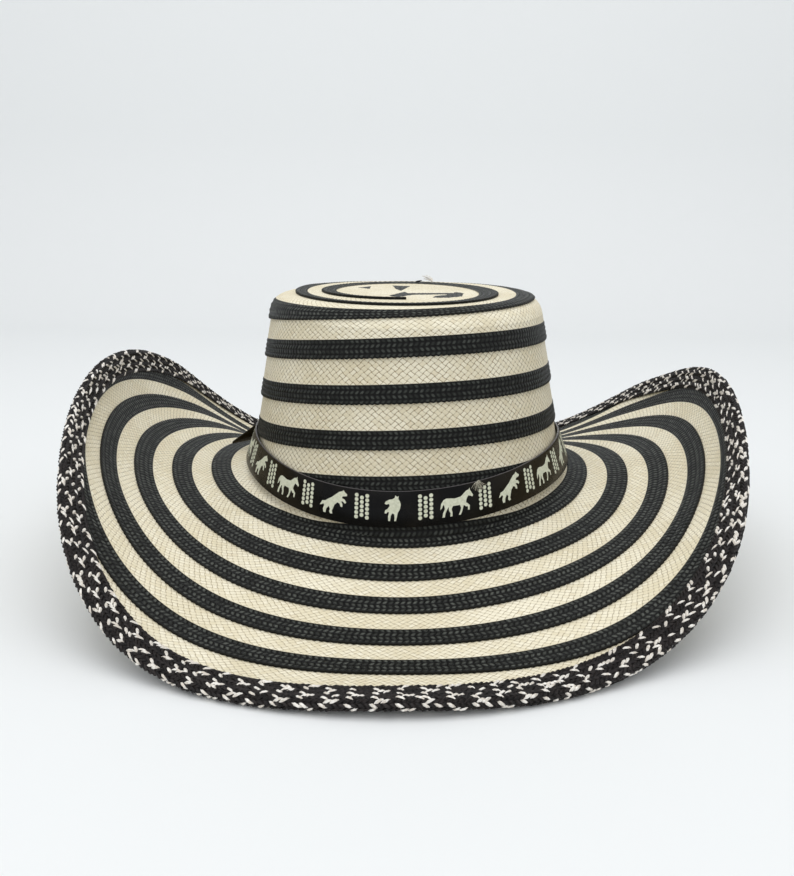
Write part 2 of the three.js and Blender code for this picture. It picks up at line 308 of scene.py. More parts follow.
def braid_stations(first, last):
    """Turns at equal steps of half a weave pitch along the braid's middle line, and the same
    as numbers of weave pitches."""
    fine = np.linspace(first, last, int((last - first) * 720) + 1)
    line = straw_point(-90 - 360 * fine, braid_run(fine, 0 * fine + ROWS / 2))
    length = length_along(line) / WEAVE_PITCH
    along = np.arange(int(length[-1] * 2) + 1) / 2
    return np.interp(along, length, fine), along


# The brim's edge lies this far inside the rim, in the edge braid's fold
RIM_INSET = 2.4
# Scale of the turns on the flat, about a round's length, so that a cut is filled straight across
TURN_LENGTH = 900


def seams(azimuth):
    """Runs of the seams at the top's corner, at the foot and at the rim."""
    foot = wall_length(azimuth)
    return TIP_CORNER, foot - FOOT_BEND, foot + form_at(azimuth)[2] - RIM_INSET


def seam_level(azimuth, run):
    """The run as a level that is 0 at the top's seam, 1 at the foot's and 2 at the rim's, and
    goes evenly between them."""
    tip, foot, rim = seams(azimuth)
    low = (run - tip) / TIP_HALF_WIDTH
    middle = (run - tip) / (foot - tip)
    high = 1 + (run - foot) / (rim - foot)
    return np.where(run < tip, low, np.where(run < foot, middle, high))


def run_at_level(azimuth, level):
    """The run of a seam level: seam_level turned round."""
    tip, foot, rim = seams(azimuth)
    low = tip + level * TIP_HALF_WIDTH
    middle = tip + level * (foot - tip)
    high = foot + (level - 1) * (rim - foot)
    return np.where(level < 0, low, np.where(level < 1, middle, high))


def ring_faces(stations, rails):
    """Quads of a ring of stations times rails points, closed both ways."""
    i, j = np.meshgrid(np.arange(stations), np.arange(rails), indexing="ij")
    a, b = (i + 1) % stations, (j + 1) % rails
    quads = np.stack((i * rails + j, i * rails + b, a * rails + b, a * rails + j), -1)
    return quads.reshape(-1, 4).tolist()


def closed_tube(stations, rails):
    """Faces of a tube: the ring's quads but those from the last station to the first, and one
    face with all the rails at each end."""
    last = (stations - 1) * rails
    ends = [list(range(rails))[::-1], list(range(last, last + rails))]
    return ring_faces(stations, rails)[:last] + ends


def new_mesh(name, place, faces, uv):
    """A mesh from points, faces and one pair of pattern coordinates for each point."""
    mesh = bpy.data.meshes.new(name)
    mesh.from_pydata(np.asarray(place).reshape(-1, 3), [], faces)
    corners = np.empty(len(mesh.loops), int)
    mesh.loops.foreach_get("vertex_index", corners)
    layer = mesh.uv_layers.new(name="pattern")
    layer.data.foreach_set("uv", np.asarray(uv, np.float32).reshape(-1, 2)[corners].ravel())
    return mesh


def read_points(mesh):
    """The mesh's points as rows of x, y and z."""
    place = np.empty(3 * len(mesh.vertices), np.float32)
    mesh.vertices.foreach_get("co", place)
    return place.astype(float).reshape(-1, 3)


def write_points(mesh, place):
    """Puts the mesh's points at new places."""
    mesh.vertices.foreach_set("co", place.astype(np.float32).ravel())


def finished_piece(name, meshes, material, sharp=50):
    """One object from meshes: joined, faces turned outwards, smooth but for edges of more than
    sharp degrees."""
    bm = bmesh.new()
    for mesh in meshes:
        bm.from_mesh(mesh)
    bmesh.ops.recalc_face_normals(bm, faces=bm.faces)
    result = bpy.data.meshes.new(name)
    bm.to_mesh(result)
    bm.free()
    result.shade_smooth()
    result.set_sharp_from_angle(angle=np.radians(sharp))
    result.materials.append(material)
    piece = bpy.data.objects.new(name, result)
    bpy.context.scene.collection.objects.link(piece)
    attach(piece, "root")
    return piece


def braid_strip(first, last, low_row, level_low, level_high):
    """A length of braid as a closed strip, cut at two seam levels. On the flat it is a grid of
    turns, seam level and lift: the lift grows by the tilt with the row, and each black float of
    the weave stands up in the middle of its row. The cut grid is then laid on the sheet."""
    turns, along = braid_stations(first, last)
    cream = np.arange(low_row, CREAM_ROWS)
    top = np.concatenate((cream, np.arange(2 * CREAM_ROWS, 2 * ROWS + 1) / 2))
    under = np.linspace(ROWS, low_row, 5)
    row = np.concatenate((top, under))
    turns, row = np.meshgrid(turns, row, indexing="ij")
    along = np.repeat(along[:, None], row.shape[1], axis=1)
    on_top = np.arange(row.shape[1]) < len(top)
    in_row = (row % 1 == 0.5) & on_top
    on_float = along % 1 == 0.5
    relief = BLACK_RELIEF * in_row * np.where(on_float, 1, 0.45)
    lift = BRAID_TILT * row / ROWS + relief - np.where(on_top, 0, BRAID_THICKNESS)
    run = braid_run(turns, row) - EDGE_SCALLOP * ((row > ROWS - 1) & ~on_float)
    azimuth = -90 - 360 * turns
    flat = points(turns * TURN_LENGTH, seam_level(azimuth, run), lift)
    mesh = new_mesh("flat", flat, closed_tube(*row.shape), points(along, row))
    bm = bmesh.new()
    bm.from_mesh(mesh)
    for level, side in ((level_low, -1), (level_high, 1)):
        geometry = bm.verts[:] + bm.edges[:] + bm.faces[:]
        plane = {"plane_co": (0, level, 0), "plane_no": (0, side, 0)}
        cut = bmesh.ops.bisect_plane(bm, geom=geometry, dist=1e-6, clear_outer=True, **plane)
        edges = [e for e in cut["geom_cut"] if isinstance(e, bmesh.types.BMEdge) and e.is_boundary]
        filled = bmesh.ops.holes_fill(bm, edges=edges, sides=0)
        bmesh.ops.triangulate(bm, faces=filled["faces"])
    bm.to_mesh(mesh)
    bm.free()
    turns, level, lift = read_points(mesh).T
    azimuth = -90 - 360 * turns / TURN_LENGTH
    write_points(mesh, lifted_point(azimuth, run_at_level(azimuth, level), lift))
    return mesh


# The plaited oval: star-shaped about the middle of the top, out to under the first black round
OVAL_STEPS = 180
OVAL_RINGS = 44
OVAL_LIFT = 0.75
OVAL_THICKNESS = 0.9


def oval_mesh():
    """The oval: middle plus share times (edge - middle). The edge is the black straw's inner
    edge over the first turn, and the last share dips down under it."""
    turns = np.linspace(FIRST_TURN, FIRST_TURN + 1, OVAL_STEPS)
    azimuth = -90 - 360 * turns
    edge_inset = -black_edges(turns)[0] - LAP
    share = np.concatenate((np.linspace(0.004, 0.9, OVAL_RINGS), (0.93, 0.95, 0.97, 1)))
    dip = np.concatenate((np.zeros(OVAL_RINGS), (0.35, 0.8, 1.05, 1.05)))
    share, dip = np.concatenate((share, share[::-1])), np.concatenate((dip, dip[::-1]))
    upper = np.arange(len(share)) < len(share) / 2
    lift = np.where(upper, OVAL_LIFT, OVAL_LIFT - OVAL_THICKNESS) - dip
    middle = tip_point(np.array(90.0), np.array(float(TIP_HALF_LENGTH)))
    edge = tip_point(azimuth, edge_inset)[:, None]
    place = middle + (edge - middle) * share[None, :, None]
    narrow = share[None, :] * (1 - edge_inset[:, None] / TIP_HALF_WIDTH)
    lean = TIP_LEAN * (place[..., 1] + TIP_FORWARD) / TIP_HALF_LENGTH
    place[..., 2] = TIP_HEIGHT + lean + TIP_DOME * (1 - narrow**TIP_DOME_EDGE) + lift[None, :]
    uv = place[..., :2] / WEAVE_PITCH
    return new_mesh("oval", (place + HAT_ZERO) * MM, closed_tube(*place.shape[:2]), uv)


class Nodes:
    """Short ways to add and join nodes in a tree."""

    def __init__(self, tree):
        self.tree = tree

    def add(self, kind, *values, **settings):
        """A new node with its settings made and its first inputs joined."""
        node = self.tree.nodes.new(kind)
        for key, value in settings.items():
            setattr(node, key, value)
        for value, socket in zip(values, node.inputs):
            self.join(value, socket)
        return node

    def join(self, value, socket):
        """Links an output to a socket, or sets the socket to a constant."""
        if isinstance(value, bpy.types.NodeSocket):
            self.tree.links.new(value, socket)
        else:
            socket.default_value = value

    def fill(self, node, names, *values):
        """Joins values to the node's inputs by name."""
        for name, value in zip(names, values):
            self.join(value, node.inputs[name])

    def math(self, operation, *values):
        return self.add("ShaderNodeMath", *values, operation=operation).outputs[0]

    def times(self, first, second):
        return self.math("MULTIPLY", first, second)

    def plus(self, first, second):
        return self.math("ADD", first, second)

    def minus(self, first, second):
        return self.math("SUBTRACT", first, second)

    def smooth(self, value, low, high, out_low=0.0, out_high=1.0):
        """Smooth step of value from low to high."""
        values = (value, low, high, out_low, out_high)
        return self.add("ShaderNodeMapRange", *values, interpolation_type="SMOOTHSTEP").outputs[0]

    def side(self, value, number):
        """How far a value lies from the middle of its cell, which is 1 at the cell's edge."""
        return self.math("ABSOLUTE", self.minus(self.times(self.minus(value, number), 2.0), 1.0))

    def mix(self, factor, first, second, blend="MIX"):
        """Colour between two colours."""
        node = self.add("ShaderNodeMix", factor, data_type="RGBA", blend_type=blend)
        for value, index in ((first, 6), (second, 7)):
            self.join((*value, 1) if isinstance(value, tuple) else value, node.inputs[index])
        return node.outputs[2]

    def noise(self, vector, scale, detail=2.0, roughness=0.5):
        node = self.add("ShaderNodeTexNoise")
        names = ("Vector", "Scale", "Detail", "Roughness")
        self.fill(node, names, vector, scale, detail, roughness)
        return node.outputs["Fac"]

    def vector(self, x, y, z=0.0):
        return self.add("ShaderNodeCombineXYZ", x, y, z).outputs[0]

    def split(self, vector):
        return self.add("ShaderNodeSeparateXYZ", vector).outputs

    def dice(self, x, y):
        """A random value for each pair of numbers."""
        node = self.add("ShaderNodeTexWhiteNoise", self.vector(x, y), noise_dimensions="2D")
        return node.outputs["Value"]

    def pattern(self):
        """The pattern coordinates of the mesh."""
        return self.add("ShaderNodeUVMap", uv_map="pattern").outputs[0]

    def bump(self, height, strength, distance):
        """Lets the height stand up on the material's surface."""
        node = self.add("ShaderNodeBump")
        self.fill(node, ("Strength", "Distance", "Height"), strength, distance, height)
        self.join(node.outputs[0], self.tree.nodes["Principled BSDF"].inputs["Normal"])

    def finish(self, colour, roughness, gloss=0.5):
        """Gives the material its colour, roughness and gloss."""
        names = ("Base Color", "Roughness", "Specular IOR Level")
        self.fill(self.tree.nodes["Principled BSDF"], names, colour, roughness, gloss)


def new_material(name):
    """A material and the short ways of its tree."""
    material = bpy.data.materials.new(name)
    material.use_nodes = True
    return material, Nodes(material.node_tree)


def weave_group(name, outputs):
    """A shader node group that takes a vector: the group, the short ways of its tree, the
    vector's x and y, and the node that puts the values out."""
    tree = bpy.data.node_groups.new(name, "ShaderNodeTree")
    tree.interface.new_socket("Vector", in_out="INPUT", socket_type="NodeSocketVector")
    for output in outputs:
        tree.interface.new_socket(output, in_out="OUTPUT", socket_type="NodeSocketFloat")
    n = Nodes(tree)
    x, y, _ = n.split(n.add("NodeGroupInput").outputs["Vector"])
    return tree, n, x, y, n.add("NodeGroupOutput")


# Weave of the black rows: slanting floats like scales, which lean the other way in each next row
FLOAT_LEAN = 0.5
FLOAT_ROUNDING = 2.2
FLOAT_ARCH = 0.85
FLOAT_GAP = (0.55, 1.1)
FLOAT_VALUES = ("Height", "Strand", "Gap")
scales, n, along, row, sink = weave_group("slanting_floats", FLOAT_VALUES)
row_number = n.math("FLOOR", row)
lean = n.minus(1.0, n.times(n.math("FLOORED_MODULO", row_number, 2.0), 2.0))
slant = n.times(n.times(lean, FLOAT_LEAN), n.minus(n.minus(row, row_number), 0.5))
float_place = n.plus(along, slant)
float_number = n.math("FLOOR", float_place)
across = n.math("POWER", n.side(float_place, float_number), FLOAT_ROUNDING)
length = n.math("POWER", n.side(row, row_number), FLOAT_ROUNDING)
arch = n.minus(1.0, n.times(length, FLOAT_ARCH))
height = n.times(n.minus(1.0, across), arch)
gap = n.smooth(n.times(n.plus(across, length), 0.8), *FLOAT_GAP)
n.fill(sink, FLOAT_VALUES, height, n.dice(row_number, float_number), gap)

# Weave of the cream rows: strands that cross on the slant, one over and one under, with a
# small hole at each corner of a crossing
STRAND_ROUNDING = 3.0
STRAND_ARCH = 0.6
STRAND_EDGE = (0.55, 1.0)
STRAND_EDGE_SHARE = (0.3, 1.0)
HOLE_CORNER = (0.62, 0.92)
OWN_TONE = 0.4
STREAKS_ACROSS = 9.0
CROSSED_VALUES = ("Height", "Strand", "Gap", "Fibre")
diamonds, n, along, across, sink = weave_group("crossed_strands", CROSSED_VALUES)
along, across = n.times(along, DIAMONDS_ALONG), n.times(across, DIAMONDS_ACROSS)
rising, falling = n.plus(along, across), n.minus(along, across)
rising_number, falling_number = n.math("FLOOR", rising), n.math("FLOOR", falling)
rising_side, falling_side = n.side(rising, rising_number), n.side(falling, falling_number)
over = n.math("FLOORED_MODULO", n.plus(rising_number, falling_number), 2.0)
under = n.minus(1.0, over)


def either(first, second):
    """The first value where the falling strand is on top, and the second elsewhere."""
    return n.plus(n.times(over, first), n.times(under, second))


width_side, length_side = either(rising_side, falling_side), either(falling_side, rising_side)
crown = n.minus(1.0, n.math("POWER", width_side, STRAND_ROUNDING))
arch = n.minus(1.0, n.times(n.times(length_side, length_side), STRAND_ARCH))
strand = n.dice(either(rising_number, falling_number), over)
cell = n.dice(rising_number, falling_number)
edge = n.times(n.smooth(width_side, *STRAND_EDGE), n.smooth(cell, 0.0, 1.0, *STRAND_EDGE_SHARE))
corner = n.smooth(n.math("MINIMUM", rising_side, falling_side), *HOLE_CORNER)
gap = n.math("MAXIMUM", corner, edge)
tone = n.plus(n.times(strand, OWN_TONE), n.times(cell, 1 - OWN_TONE))
streaks = n.vector(n.times(either(rising, falling), STREAKS_ACROSS), either(falling, rising), over)
n.fill(sink, CROSSED_VALUES, n.times(crown, arch), tone, gap, n.noise(streaks, 1.0, 2.0, 0.6))

CREAM = (0.80, 0.72, 0.52)
CREAM_LIGHT = (0.94, 0.88, 0.70)
CREAM_DARK = (0.62, 0.50, 0.29)
HOLE = (0.26, 0.19, 0.09)
BLACK = (0.005, 0.0055, 0.005)
# Painted glints for the tops of the black floats, in place of light that shines on them: a dimmer
# one for the crown wall and a brighter one for the top and the brim
DIM_PAINTED_GLINT = (0.062, 0.068, 0.060)
BRIGHT_PAINTED_GLINT = (0.105, 0.112, 0.098)
BLACK_GAP = (0.0015, 0.0015, 0.0015)
# Share of each strand's tone against that of slow patches, and shares of the dark tones
STRAND_TONE = 0.6
PATCHES = 0.05
STREAK_SHARE = 0.3
ODD_STRANDS = 0.9
ODD_SHARE = 0.35
GAP_DEPTH = 0.9
# Width of the dye's edge in rows, and of the plain rim at both edges of the black straw
DYE_EDGE = 0.06
PLAIN_RIM = (0.4, 0.2)
STRAW_ROUGHNESS = (0.6, 0.48)
STRAW_GLOSS = (0.3, 0.16)
CREAM_BUMP = 0.45


def straw_material(name, figure=False, painted_shade=1.0, gap_share=0.8, glint_tone=BRIGHT_PAINTED_GLINT):
    """Cane straw: cream, and black on the rows after the cream ones. Each float has its own tone
    and fine streaks, the gaps between floats are dark, and the floats stand up as a bump. The
    cream is multiplied by the painted shade, which darkens a copy of the straw as if less light
    fell on it. The glint tone is a painted glint on the tops of black floats, except on the plain
    rims at the black straw's edges."""
    material, n = new_material(name)
    place = n.pattern()
    crossed = n.add("ShaderNodeGroup", place, node_tree=diamonds).outputs
    slanting = n.add("ShaderNodeGroup", place, node_tree=scales).outputs
    patches = n.smooth(n.noise(place, PATCHES, 3.0, 0.55), 0.3, 0.7)
    tone = n.plus(n.times(crossed["Strand"], STRAND_TONE), n.times(patches, 1 - STRAND_TONE))
    cream = n.mix(n.smooth(tone, 0.15, 0.85), CREAM, CREAM_LIGHT)
    darker = n.times(n.smooth(crossed["Fibre"], 0.55, 0.8), STREAK_SHARE)
    cream = n.mix(darker, cream, CREAM_DARK)
    odd = n.math("GREATER_THAN", crossed["Strand"], ODD_STRANDS)
    cream = n.mix(n.times(odd, ODD_SHARE), cream, CREAM_DARK)
    cream = n.mix(n.times(crossed["Gap"], gap_share), cream, HOLE)
    # Painted shade: the cream multiplied down, for a copy of the straw that stands where less
    # light falls
    cream = n.mix(1.0, cream, (painted_shade, painted_shade, painted_shade), blend="MULTIPLY")
    # Painted glint: a lighter tone painted on the tops of some black floats, standing in for light
    # that shines on them
    top = n.smooth(slanting["Height"], 0.45, 1.0)
    glint = n.times(top, n.smooth(slanting["Strand"], 0.0, 0.9, 0.25, 1.0))
    glint = n.times(glint, n.smooth(crossed["Fibre"], 0.3, 0.6, 0.35, 1.0))
    black = n.mix(glint, BLACK, glint_tone)
    black = n.mix(n.times(slanting["Gap"], GAP_DEPTH), black, BLACK_GAP)
    if figure:
        dye = n.add("ShaderNodeAttribute", attribute_name="dye").outputs["Fac"]
        is_black = n.smooth(dye, 0.35, 0.65)
    else:
        row = n.split(place)[1]
        is_black = n.smooth(row, CREAM_ROWS - DYE_EDGE, CREAM_ROWS + DYE_EDGE)
        rims = [n.math("ABSOLUTE", n.minus(row, float(rim))) for rim in (ROWS, CREAM_ROWS)]
        black = n.mix(n.smooth(n.math("MINIMUM", *rims), *PLAIN_RIM), black, BLACK)
    roughness = n.smooth(is_black, 0.0, 1.0, *STRAW_ROUGHNESS)
    gloss = n.smooth(is_black, 0.0, 1.0, *STRAW_GLOSS)
    n.finish(n.mix(is_black, cream, black), roughness, gloss)
    cream_height = n.times(n.plus(crossed["Height"], n.times(crossed["Fibre"], 0.1)), CREAM_BUMP)
    height = n.add("ShaderNodeMix", data_type="FLOAT")
    for index, value in ((0, is_black), (2, cream_height), (3, slanting["Height"])):
        n.join(value, height.inputs[index])
    n.bump(height.outputs[0], strength=0.6, distance=0.0006)
    return material


braid_straw = straw_material("braid_straw")
oval_straw = straw_material("oval_straw", figure=True)
# The crown wall's copy of the same straw gets painted shade of 0.88 on its cream, its gaps at full
# darkness, and the dimmer painted glint, because the upright wall gets less light
wall_straw_painted_shade = straw_material("wall_straw_painted_shade", painted_shade=0.88, gap_share=1.0, glint_tone=DIM_PAINTED_GLINT)

# Turns that each length of braid covers: the top's and the wall's end past their seams
TOP_ENDS = 1.4
WALL_TURNS = (-1, 6.2)
BRIM_TURNS = (3.6, 12.2)
JOINT_OVERLAP = 0.008
BELOW_ALL = -3
tip_rounds = braid_strip(FIRST_TURN + 1, TOP_ENDS, 0, BELOW_ALL, 0)
first_round_ends = FIRST_TURN + 1 + JOINT_OVERLAP
tip_first_round = braid_strip(FIRST_TURN, first_round_ends, CREAM_ROWS, BELOW_ALL, 0)
crown_top = finished_piece("crown_top", [tip_rounds, tip_first_round], braid_straw)
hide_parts("crown_tip")

# Woven figure: small triangles and a stepped line, as outlines on the top in mm
FIGURE = (
    ((-27, 14), (-20, 24), (-20, 6)),
    ((-8, 30), (2, 27), (0, 14), (-3, -5), (-6, 8)),
    ((-9, -34), (-1, -10), (3, -28), (-4, -41)),
    ((1, -18), (28, -14), (28, -22), (1, -28)),
    ((13, -42), (14, -34), (21, -25), (26, -9), (30, -15), (28, -33), (21, -41)),
)


def inside(outline, x, y):
    """Whether points lie in a closed outline: a line to the right crosses it an odd number
    of times."""
    ax, ay = np.array(outline, float).T
    bx, by = np.roll(ax, -1), np.roll(ay, -1)
    x, y = x[:, None], y[:, None]
    crossing = (ay > y) != (by > y)
    at = ax + (y - ay) * (bx - ax) / np.where(by == ay, 1, by - ay)
    return ((crossing & (x < at)).sum(-1) % 2) == 1


crown_oval = finished_piece("crown_oval", [oval_mesh()], oval_straw)
x, y, _ = (read_points(crown_oval.data) / MM - HAT_ZERO).T
dye = np.zeros(len(x))
for outline in FIGURE:
    dye = np.maximum(dye, inside(outline, x + TIP_LEFT, y + TIP_FORWARD))
layer = crown_oval.data.attributes.new("dye", "FLOAT", "POINT")
layer.data.foreach_set("value", dye.astype(np.float32))
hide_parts("crown_tip")

# ---- wall of the crown
# Four and a half more rounds of the same braid, sewn round a block. The stitches hide
# under the black edges.
crown_wall = finished_piece("crown_wall", [braid_strip(*WALL_TURNS, 0, 0, 1)], wall_straw_painted_shade)
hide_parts("crown_side")

# ---- brim
# Five more rounds, wide and limp enough to be shaped up at both sides with steam.
brim_rounds = finished_piece("brim_rounds", [braid_strip(*BRIM_TURNS, 0, 1, 2)], braid_straw)
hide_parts("brim")

# ---- edge braid
# A separate plait of dyed and bleached strands, folded over the rim and sewn down on both
# faces. Its rows lean to and fro; bleached strands show as short light dashes.
PLAIT_WIDTH = 14
PLAIT_LIFT = 2.1
NOSE_INSET = 0.6
PLAIT_ROWS = 15
DASH_PERIOD = 8
PAD_PITCH = 2.3
PAD_LENGTH = 3.9
PAD_WIDTH = 1.3
PAD_HEIGHT = 0.5
PAD_LEAN = 30
PADS_MISSED = 0.1
PADS_ADDED = 0.045
CORE_LIFT = 1.75
CORE_STATIONS = 240
CORE_RAILS = 20
PRESS = 0.0004


def rim_run(azimuth):
    """Run of the rim's outermost line."""
    return wall_length(azimuth) + form_at(azimuth)[2]


def pressed(place):
    """Presses what is lower than PRESS flat on the table: below it, the height becomes PRESS
    times exp(height / PRESS - 1), which meets the height smoothly and stays above nought."""
    low = np.minimum(place[..., 2] / PRESS, 1)
    place[..., 2] = np.maximum(place[..., 2], PRESS * np.exp(low - 1))
    return place


def folded(azimuth, across, lift):
    """The plait's face, folded over the rim: two flat legs and a half circle of radius lift
    between them. `across` is the distance from the nose on the plait's own face."""
    nose = PLAIT_LIFT * np.pi / 2
    turn = np.clip(across / PLAIT_LIFT, -np.pi / 2, np.pi / 2)
    leg = np.maximum(np.abs(across) - nose, 0)
    run = rim_run(azimuth) - PLAIT_LIFT - NOSE_INSET + lift * np.cos(turn) - leg
    return pressed(lifted_point(azimuth, run, lift * np.sin(turn)))


def rim_azimuths(count):
    """Azimuths at equal steps along the rim, one more than the count to close the ring."""
    fine = np.linspace(0, 360, 1441)
    length = length_along(straw_point(fine, rim_run(fine) - 3))
    return np.interp(np.arange(count + 1) * length[-1] / count, length, fine), length[-1]


half_width = PLAIT_LIFT * np.pi / 2 + PLAIT_WIDTH - PLAIT_LIFT - NOSE_INSET
row_height = 2 * half_width / PLAIT_ROWS
_, rim_length = rim_azimuths(8)
PADS = DASH_PERIOD * int(round(rim_length / PAD_PITCH / DASH_PERIOD))


def pad_meshes():
    """The floats: closed lens-shaped pads of four stations along and four points round, which
    lean to and fro row by row. Each one's length, lean and place vary a little."""
    chance = np.random.default_rng(7)
    row, number = np.meshgrid(np.arange(PLAIT_ROWS), np.arange(PADS), indexing="ij")
    vary = chance.uniform(-1, 1, (4, *row.shape, 1, 1))
    along = np.array((-1, -0.42, 0.42, 1))[:, None]
    width = np.array((0.45, 1, 1, 0.45))[:, None]
    dip = np.array((-0.8, 0, 0, -0.8))[:, None]
    ring_across = np.array((-1, 0, 1, 0))
    ring_up = np.array((0, 1, 0, -0.5))
    ring = PAD_WIDTH / 2 * width * ring_across
    up = PAD_HEIGHT * (ring_up * width + dip + 0.3 * vary[0])
    forward = PAD_LENGTH / 2 * (1 + 0.12 * vary[1]) * along + 0 * ring
    side = np.where(row % 2 == 0, 1, -1)[..., None, None]
    lean = PAD_LEAN + 7 * vary[2]
    u = (number + 0.5 + 0.25 * (row % 2))[..., None, None] * PAD_PITCH + 0.25 * vary[3]
    u = u + side * (forward * cosd(lean) - ring * sind(lean))
    v = (row + 0.5)[..., None, None] * row_height - half_width
    v = v + forward * sind(lean) + ring * cosd(lean)
    azimuth = np.interp(u / PAD_PITCH, np.arange(-2, PADS + 3), AROUND)
    place = folded(azimuth, v, PLAIT_LIFT + up + 0 * v)
    double = (number + 2 * row) % DASH_PERIOD < 2
    single = (number + 2 * row) % DASH_PERIOD % 4 == 1
    dice = chance.random(row.shape)
    light = np.where(row % 2 == 0, double, single) & (dice > PADS_MISSED) | (dice > 1 - PADS_ADDED)
    uv = points(forward + number[..., None, None], ring + 3 * row[..., None, None])
    return place, light, uv


steps, _ = rim_azimuths(PADS)
AROUND = np.concatenate((steps[-3:-1] - 360, steps, steps[1:3] + 360))
place, light, uv = pad_meshes()
PAD_POINTS = 16


def pads_mesh(name, chosen):
    """All the chosen pads as one mesh: each a tube of four rails closed at both ends."""
    spots = place.reshape(-1, PAD_POINTS, 3)[chosen]
    number = np.arange(len(spots))[:, None, None] * PAD_POINTS
    faces = (np.array(closed_tube(4, 4))[None] + number).reshape(-1, 4)
    return new_mesh(name, spots, faces.tolist(), uv.reshape(-1, PAD_POINTS, 2)[chosen])


def core_mesh():
    """The plait's body under the floats: a folded channel with an outer and an inner face."""
    azimuth = rim_azimuths(CORE_STATIONS)[0][:-1][:, None]
    outer = np.linspace(-half_width, half_width, CORE_RAILS)
    across = np.concatenate((outer, outer[::-1]))[None]
    lift = np.repeat((CORE_LIFT, CORE_LIFT - 0.5), CORE_RAILS)[None]
    spots = folded(azimuth + 0 * across, across + 0 * azimuth, lift + 0 * azimuth)
    uv = points(azimuth, across)
    return new_mesh("core", spots, ring_faces(CORE_STATIONS, 2 * CORE_RAILS), uv)


def strand_material(name, dark, bright, roughness):
    """A flat straw strand: fine streaks along it between a dark and a bright tone."""
    material, n = new_material(name)
    along, across, _ = n.split(n.pattern())
    streaks = n.noise(n.vector(along, n.times(across, 6.0)), 1.5, 3.0, 0.6)
    cells = n.dice(n.math("FLOOR", along), n.math("FLOOR", across))
    tone = n.smooth(n.times(n.plus(streaks, cells), 0.5), 0.25, 0.75)
    n.finish(n.mix(tone, dark, bright), roughness, gloss=0.25)
    n.bump(streaks, strength=0.4, distance=0.0002)
    return material


dark_strand = strand_material("dark_strand", (0.004, 0.003, 0.003), (0.022, 0.017, 0.016), 0.5)
light_strand = strand_material("light_strand", (0.70, 0.64, 0.56), (0.93, 0.90, 0.84), 0.55)
light_pads = light.ravel()
dark_parts = [pads_mesh("dark", ~light_pads), core_mesh()]
plait_dark = finished_piece("edge_plait_dark", dark_parts, dark_strand)
plait_light = finished_piece("edge_plait_light", [pads_mesh("light", light_pads)], light_strand)
for plait in (plait_dark, plait_light):
    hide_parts("edge_braid")

# ---- hatband
# A smooth dark strap of coated leather round the foot of the wall, with a pale print of
# horses between groups of dots, one short motif after another.
BAND_WIDTH = 17
BAND_ABOVE_FOOT = 2
BAND_RISE = 7
BAND_RISE_AZIMUTH = -77
BAND_RISE_POWER = 5
BAND_LEAN = 3.5
BAND_INNER = 1.4
BAND_OUTER = 2.45
BAND_ROUNDING = 0.35
MOTIF_PERIODS = 20
FRONT_MOTIF_AZIMUTH = -94


def beside_wall(azimuth, run, lift):
    """A point beside the wall's straight line, which runs on past the bend at the foot: the
    lift is laid off along the normal at the middle of the wall. At the sides the strap leans
    out: BAND_LEAN times cos(azimuth) ** 2 times the share of the way to its lower edge."""
    middle = wall_length(azimuth) / 2
    share = (run - band_bottom(azimuth) + BAND_WIDTH) / BAND_WIDTH
    lift = lift + BAND_LEAN * cosd(azimuth) ** 2 * share
    offset = lifted_point(azimuth, middle, lift) / MM - HAT_ZERO - wall_point(azimuth, middle)
    return (wall_point(azimuth, run) + offset + HAT_ZERO) * MM


def band_bottom(azimuth):
    """Run of the band's lower edge: above the foot, and higher in front by the rise times
    ((1 + cos(azimuth from the rise's)) / 2) ** 5."""
    nearness = (1 + cosd(azimuth - BAND_RISE_AZIMUTH)) / 2
    return wall_length(azimuth) - BAND_ABOVE_FOOT - BAND_RISE * nearness**BAND_RISE_POWER


def strap_profile(width, inner, outer):
    """Distance below the upper edge and lift round a flat strap with rounded edges."""
    r = BAND_ROUNDING
    down = np.array((0, 0.3 * r, r, width - r, width - 0.3 * r, width, width, width - r, r, 0))
    face = np.array((outer - r, outer - 0.3 * r, outer, outer, outer - 0.3 * r, outer - r))
    lift = np.concatenate((face, (inner + r, inner, inner, inner + r)))
    return down, lift


BAND_STATIONS = 360
down, lift = strap_profile(BAND_WIDTH, BAND_INNER, BAND_OUTER)
azimuth = np.linspace(0, 360, BAND_STATIONS, endpoint=False)[:, None] + 0 * down
run = band_bottom(azimuth) - BAND_WIDTH + down
spots = beside_wall(azimuth, run, lift + 0 * azimuth)
band_mesh = new_mesh("band", spots, ring_faces(*azimuth.shape), points(azimuth, down))

HIGHLIGHT_EDGE_WIDTH = 0.35
REFLECTION_FROM_FRONT = (20.0, 60.0)
STRAP_BLACK = (0.0015, 0.0015, 0.0018)
STRAP_PAINTED_REFLECTION = (0.022, 0.016, 0.007)
STRAP_WORN = (0.012, 0.010, 0.006)
STRAP_PAINTED_HIGHLIGHT = (0.13, 0.12, 0.12)
strap_coat, n = new_material("strap_coat")
place = n.add("ShaderNodeTexCoord").outputs["Object"]
wear = n.noise(place, 60.0, 3.0, 0.6)
azimuth, down, _ = n.split(n.pattern())
# Painted reflection: the coat is black in front and turns to a brown tint away from the front,
# where the glossy coat reads brown from what it reflects
from_front = n.math("ABSOLUTE", n.minus(azimuth, 360.0 + FRONT_MOTIF_AZIMUTH))
coat = n.mix(n.smooth(from_front, *REFLECTION_FROM_FRONT), STRAP_BLACK, STRAP_PAINTED_REFLECTION)
coat = n.mix(n.times(n.smooth(wear, 0.4, 0.75), 0.5), coat, STRAP_WORN)
